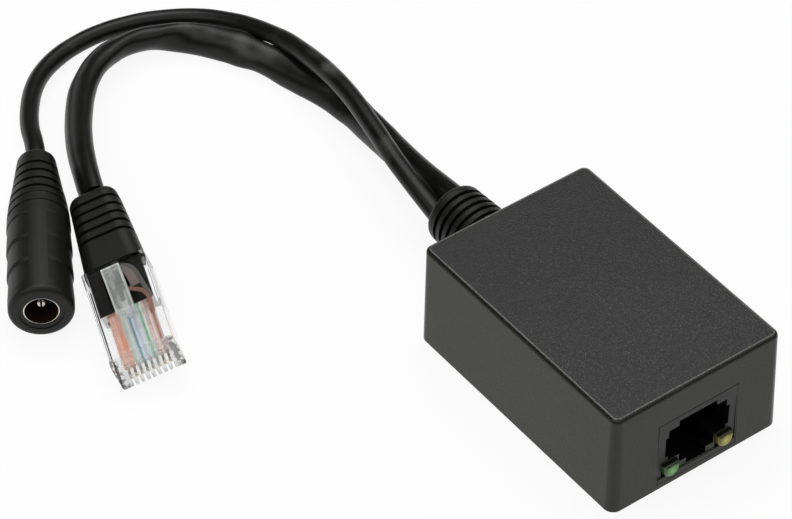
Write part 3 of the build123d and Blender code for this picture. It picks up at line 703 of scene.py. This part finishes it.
def jacket_shape():
    """Jacket swept along a route: flattened, and lifted by the twisted pairs under it."""
    shape = Shape(
        "cord_jacket_shape",
        {
            "Route": "Object",
            "Width": "Float",
            "Flatness": "Float",
            "Step": "Float",
            "Sides": "Int",
            "Lay": "Float",
            "Pair Twist": "Float",
            "Ridge": "Float",
            "Lumps": "Float",
            "Floor": "Float",
            "Material": "Material",
        },
    )
    route = shape.node("GeometryNodeObjectInfo", {}, {"Object": shape.value("Route")})
    along = shape.node("GeometryNodeSplineParameter", {}, {})
    inputs = {"Curve": route.outputs["Geometry"], "Length": shape.value("Step")}
    line = shape.node("GeometryNodeResampleCurve", {"mode": "LENGTH"}, inputs).outputs[0]
    inputs = {"Curve": line}
    line = shape.node("GeometryNodeSetCurveNormal", {"mode": "Z_UP"}, inputs).outputs[0]
    line = shape.kept(line, "along", along.outputs["Length"])
    line = shape.kept(line, "share", along.outputs["Factor"])
    inputs = {"Resolution": shape.value("Sides"), "Radius": shape.value("Width") * 0.5}
    ring = shape.node("GeometryNodeCurvePrimitiveCircle", {"mode": "RADIUS"}, inputs)
    ring = shape.kept(ring.outputs["Curve"], "around", along.outputs["Factor"])
    inputs = {"X": 1.0, "Y": shape.value("Flatness"), "Z": 1.0}
    squeeze = shape.node("ShaderNodeCombineXYZ", {}, inputs).outputs[0]
    inputs = {"Geometry": ring, "Scale": squeeze}
    ring = shape.node("GeometryNodeTransform", {}, inputs).outputs[0]
    inputs = {"Curve": line, "Profile Curve": ring, "Fill Caps": True}
    skin = shape.node("GeometryNodeCurveToMesh", {}, inputs).outputs[0]
    turn = 2 * math.pi
    length = shape.read("along")
    share = shape.read("share")
    angle = shape.read("around") * turn
    free = share.eased(*pairs_start) * (1.0 - share.eased(*pairs_end))
    lay = angle + length / shape.value("Lay") * turn
    twist = length / shape.value("Pair Twist") * turn
    pairs = (lay * pair_count).sine() * 0.5 + (twist + lay * 2.0).sine() * 0.5
    spot = shape.node("GeometryNodeInputPosition", {}, {}).outputs[0]
    lumps = (shape.noise(spot, lump_scale, 1.0) - 0.5) * shape.value("Lumps")
    lift = pairs * free * shape.value("Ridge") + lumps * (0.3 + free)
    normal = shape.node("GeometryNodeInputNormal", {}, {}).outputs[0]
    inputs = {0: normal, "Scale": lift}
    offset = shape.node("ShaderNodeVectorMath", {"operation": "SCALE"}, inputs)
    inputs = {"Geometry": skin, "Offset": offset.outputs["Vector"]}
    skin = shape.node("GeometryNodeSetPosition", {}, inputs).outputs[0]
    x, y, z = shape.axes(spot)
    inputs = {"X": x, "Y": y, "Z": z.larger(shape.value("Floor"))}
    rest = shape.node("ShaderNodeCombineXYZ", {}, inputs).outputs[0]
    inputs = {"Geometry": skin, "Position": rest}
    skin = shape.node("GeometryNodeSetPosition", {}, inputs).outputs[0]
    skin = shape.node("GeometryNodeSetShadeSmooth", {}, {"Geometry": skin}).outputs[0]
    return shape.close(skin)


def swept_cord(name, shape, data, sizes, material):
    """Cord's jacket along its smooth line."""
    route = bpy.data.objects.new(name + "_route", data)
    bpy.context.scene.collection.objects.link(route)
    values = {"Route": route, "Floor": lowest_skin, "Material": material, **sizes}
    piece = shape.make(name, values)
    bpy.data.objects.remove(route)
    return piece


def flat_strand(name, shape, places, width, material):
    """Conductor pressed flat between the boot's tongue and the plug's clear top."""
    origin, turn = plug_place
    rotation = Euler([math.radians(angle) for angle in turn]).to_matrix().to_4x4()
    plug_frame = Matrix.Translation(origin) @ rotation
    points = [plug_frame @ Vector((x, y, strand_height)) for x, y in places]
    up = plug_frame.to_3x3() @ Vector((0, 0, 1))
    last = len(points) - 1
    turns = []
    for index in range(len(points)):
        along = (points[min(index + 1, last)] - points[max(index - 1, 0)]).normalized()
        level = Vector((along.y, -along.x, 0)).normalized()
        wide = along.cross(up)
        rise = along.dot(level.cross(wide))
        turns.append(math.degrees(math.atan2(rise, level.dot(wide))))
    sizes = {
        "Width": width,
        "Flatness": strand_thickness / width,
        "Step": 0.0002,
        "Sides": 16,
        "Lay": 0.05,
        "Pair Twist": 0.02,
        "Ridge": 0.0,
        "Lumps": 0.0,
    }
    line = cord_line(name, [tuple(point) for point in points], turns)
    return swept_cord(name, shape, line, sizes, material)


def socket_surround(material):
    """Low sill and side post that bring the socket's frame level with the leaning wall."""
    shell = bmesh.new()
    side = socket_middle + socket_opening_half
    post = socket_middle + socket_half - post_overlap
    back = socket_face - trim_depth
    blocks = (
        (socket_middle - socket_half, side, socket_floor, socket_floor + sill_height),
        (post, side, socket_floor, socket_top),
    )
    for left, right, low, high in blocks:
        corners = []
        for y in (left, right):
            for x, z in (
                (back, low),
                (front_foot - front_lean * low, low),
                (front_foot - front_lean * high, high),
                (back, high),
            ):
                corners.append(shell.verts.new((x, y, z)))
        near, far = corners[:4], corners[4:]
        shell.faces.new(near)
        shell.faces.new(far)
        for index in range(4):
            after = (index + 1) % 4
            shell.faces.new((near[index], near[after], far[after], far[index]))
    bmesh.ops.recalc_face_normals(shell, faces=shell.faces)
    mesh = bpy.data.meshes.new("socket_surround")
    shell.to_mesh(mesh)
    shell.free()
    mesh.materials.append(material)
    piece = bpy.data.objects.new("socket_surround", mesh)
    bpy.context.scene.collection.objects.link(piece)
    return piece


def build_camera():
    """Camera at the photograph's viewing angle."""
    sin_a, cos_a = math.sin(camera_azimuth), math.cos(camera_azimuth)
    sin_e, cos_e = math.sin(camera_elevation), math.cos(camera_elevation)
    back = Vector((sin_a * cos_e, -cos_a * cos_e, sin_e))
    level = Vector((cos_a, sin_a, 0.0))
    rise = back.cross(level)
    right = level * math.cos(camera_roll) + rise * math.sin(camera_roll)
    up = rise * math.cos(camera_roll) - level * math.sin(camera_roll)
    data = bpy.data.cameras.new("camera")
    data.sensor_width = sensor_width
    data.lens = focal_pixels / image_width * sensor_width
    data.clip_start = camera_near
    camera = bpy.data.objects.new("camera", data)
    bpy.context.scene.collection.objects.link(camera)
    turn = Matrix((right, up, back)).transposed().to_4x4()
    place = right * camera_aside + up * camera_above + back * camera_distance
    camera.matrix_world = Matrix.Translation(place) @ turn
    bpy.context.scene.camera = camera


def seen(finish):
    """1 for rays that show the background: direct, mirrored or through clear plastic."""
    path = finish.node("ShaderNodeLightPath", {}, {})
    camera, glossy, transmitted = [
        Number(finish, path.outputs[name])
        for name in ("Is Camera Ray", "Is Glossy Ray", "Is Transmission Ray")
    ]
    return camera.larger(glossy).larger(transmitted)


def build_floor():
    """Plain pale floor that keeps a faint shadow."""
    signs = ((-1, -1), (1, -1), (1, 1), (-1, 1))
    corners = [(floor_reach * across, floor_reach * along, 0.0) for across, along in signs]
    mesh = bpy.data.meshes.new("floor")
    mesh.from_pydata(corners, [], [(0, 1, 2, 3)])
    floor = bpy.data.objects.new("floor", mesh)
    floor.location.z = floor_height
    bpy.context.scene.collection.objects.link(floor)
    white = colour(255, 255, 255)
    constants = {"Base Color": white, "Roughness": 0.9, "Specular IOR Level": 0.1}
    finish = Finish("floor", constants)
    glow = finish.node("ShaderNodeEmission", {}, {"Color": white, "Strength": 1.0})
    inputs = {0: seen(finish) * floor_glow, 1: finish.shader.outputs[0], 2: glow.outputs[0]}
    mixed = finish.node("ShaderNodeMixShader", {}, inputs)
    finish.tree.links.new(mixed.outputs[0], finish.output.inputs["Surface"])
    mesh.materials.append(finish.material)


class WorldFinish(Nodes):
    """The world's nodes, built with the same methods."""

    def __init__(self):
        self.world = bpy.data.worlds.new("studio")
        self.world.use_nodes = True
        super().__init__(self.world.node_tree)
        self.tree.nodes.clear()
        self.output = self.tree.nodes.new("ShaderNodeOutputWorld")


def build_world(fill):
    """Even soft light, with a white background."""
    finish = WorldFinish()
    shown = seen(finish)
    strength = shown + (1.0 - shown) * fill
    inputs = {"Color": colour(255, 255, 255), "Strength": strength}
    light = finish.node("ShaderNodeBackground", {}, inputs)
    finish.tree.links.new(light.outputs[0], finish.output.inputs["Surface"])
    bpy.context.scene.world = finish.world


def softbox(name, place, target, size, power):
    """Square soft light aimed at a point."""
    data = bpy.data.lights.new(name, "AREA")
    data.shape = "SQUARE"
    data.size = size
    data.energy = power
    lamp = bpy.data.objects.new(name, data)
    bpy.context.scene.collection.objects.link(lamp)
    lamp.location = place
    lamp.rotation_mode = "QUATERNION"
    lamp.rotation_quaternion = (Vector(target) - Vector(place)).to_track_quat("-Z", "Y")


def flag_height(angle):
    """Height of the dark panels: taller on the side that the plug's top mirrors."""
    away = abs((angle - flag_middle + 180) % 360 - 180)
    share = min(max((flag_half + flag_ramp - away) / flag_ramp, 0), 1)
    return flag_low + (flag_high - flag_low) * share


def build_flags():
    """Dark panels low around the set, seen only in reflections."""
    constants = {"Base Color": (0, 0, 0, 1), "Specular IOR Level": 0.0, "Roughness": 1.0}
    finish = Finish("flag", constants)
    points = []
    faces = []
    for index in range(flag_sides):
        angle = 360 * index / flag_sides
        across = flag_radius * math.cos(math.radians(angle))
        along = flag_radius * math.sin(math.radians(angle))
        for height in (flag_foot, flag_height(angle)):
            points.append((across, along, height))
        after = (index + 1) % flag_sides
        faces.append((2 * index, 2 * after, 2 * after + 1, 2 * index + 1))
    mesh = bpy.data.meshes.new("flags")
    mesh.from_pydata(points, [], faces)
    mesh.materials.append(finish.material)
    flags = bpy.data.objects.new("flags", mesh)
    bpy.context.scene.collection.objects.link(flags)
    flags.visible_camera = False
    flags.visible_diffuse = False
    flags.visible_volume_scatter = False
    flags.visible_shadow = False


bpy.context.scene.view_settings.view_transform = "Standard"
build_camera()
build_world(world_fill)
build_floor()
build_flags()
softbox("overhead", place=(-0.41, 0.165, 1.05), target=light_target, size=0.80, power=4.8)
softbox("side", place=(-0.25, -0.95, 0.55), target=light_target, size=0.6, power=1.6)

housing = grained_plastic(
    "housing_plastic",
    shade=(15, 15, 15),
    side_painted_tone=(25, 26, 14),
    grain_size=0.00024,
    relief=0.00006,
    roughness=0.32,
)
carrier_plastic = smooth_plastic("carrier_plastic", (14, 14, 15), 0.45).material
boot_plastic = jacket("boot_plastic", (15, 15, 12), roughness=0.38, shine=0.32)
cord_jacket = jacket("cord_jacket", (14, 14, 12), roughness=0.28, shine=0.27)
gold = metal("gold_plate", (214, 194, 150), roughness=0.22, streak_scale=3000.0).material
tinned = metal("tinned_lead", (190, 190, 188), roughness=0.3, streak_scale=3000.0).material
nickel = metal("nickel_plate", (226, 222, 214), roughness=0.12, streak_scale=2500.0).material
solder = metal("solder", (200, 200, 200), roughness=0.25, streak_scale=900.0).material
component_black = smooth_plastic("component_black", (22, 22, 24), 0.5).material

dress(["cover", "base_plate"], housing)
dress(["rj45_jack"], socket_moulding())
dress(["jack_insert", "dc_jack_core"], carrier_plastic)
dress(["gland", "plug_boot", "dc_jack_boot"], boot_plastic)
dress(["jack_contacts", "plug_contacts"], gold)
dress(["led_leads", "magnetics_leads", "capacitor_leads"], tinned)
dress(["dc_jack_pin", "dc_jack_spring"], nickel)
dress(["dc_jack_sleeve"], sleeve_metal())
dress(["solder_joints"], solder)
dress(["magnetics_module", "surge_diode", "chip_resistors"], component_black)
dress(["filter_capacitor"], smooth_plastic("capacitor_sleeve", (32, 44, 78), 0.35).material)
dress(["polyfuse"], smooth_plastic("fuse_yellow", (188, 150, 52), 0.45).material)
dress(["chip_capacitors"], smooth_plastic("ceramic", (170, 142, 110), 0.5).material)
dress(["pcb"], circuit_board())
dress(["plug_body"], clear_plastic())
dress(["board_wires"], plain_insulation("grey_wire", (170, 170, 170)))
dress(["supply_wires"], plain_insulation("red_wire", (170, 34, 28)))

# Each light: its tint, its side of the socket, its face's shade, and the shades of its painted
# highlight in the middle and of its painted rim shade
light_looks = (
    ("green", -1, (92, 160, 82), (140, 200, 122), (66, 104, 46)),
    ("yellow", 1, (176, 170, 50), (210, 202, 90), (122, 112, 24)),
)
for tint, side, face, spot, painted_rim_shade in light_looks:
    dress([f"led_{tint}"], lens(f"{tint}_lens", side, face, spot, painted_rim_shade))

# Each pair of conductors: its tint, its strong shade, its pale shade (the pale ground of the
# striped conductors, and the painted highlight on every conductor's sides), and the strong
# line's width
wire_looks = (
    ("orange", (246, 150, 118), (248, 198, 176), 0.50),
    ("green", (60, 166, 106), (232, 240, 232), 0.26),
    ("blue", (50, 132, 146), (226, 232, 240), 0.26),
    ("brown", (166, 116, 106), (244, 218, 214), 0.30),
)
for tint, shade, pale, line in wire_looks:
    dress([f"plug_wires_{tint}"], insulation(f"{tint}_wire", shade, pale, line))

ethernet_line = cord_line("ethernet_line", ethernet_route, ethernet_turns)
power_line = cord_line("power_line", power_route)
jacket_nodes = jacket_shape()
ethernet_path, power_path = line_points(ethernet_line), line_points(power_line)
ethernet = swept_cord("ethernet_lead", jacket_nodes, ethernet_line, ethernet_sizes, cord_jacket)
power = swept_cord("power_lead", jacket_nodes, power_line, power_sizes, cord_jacket)

# Each loose strand: its name, its places, its width in metres, and its material and shade
strand_looks = (
    ("loop_strand", pink_places, 0.0016, "pink_wire", (150, 134, 128)),
    ("outer_strand", grey_places, 0.0008, "pale_wire", (112, 109, 104)),
    ("amber_strand", amber_places, 0.0008, "amber_wire", (176, 126, 106)),
)
strands = []
for name, places, width, wire, shade in strand_looks:
    material = plain_insulation(wire, shade)
    strands.append(flat_strand(name, jacket_nodes, places, width, material))
for piece in strands:
    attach(piece, "root")
surround = socket_surround(trim_plastic())
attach(surround, "root")
for piece, node in ((ethernet, "ethernet_cord"), (power, "dc_cord")):
    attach(piece, "root")
    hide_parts(node)
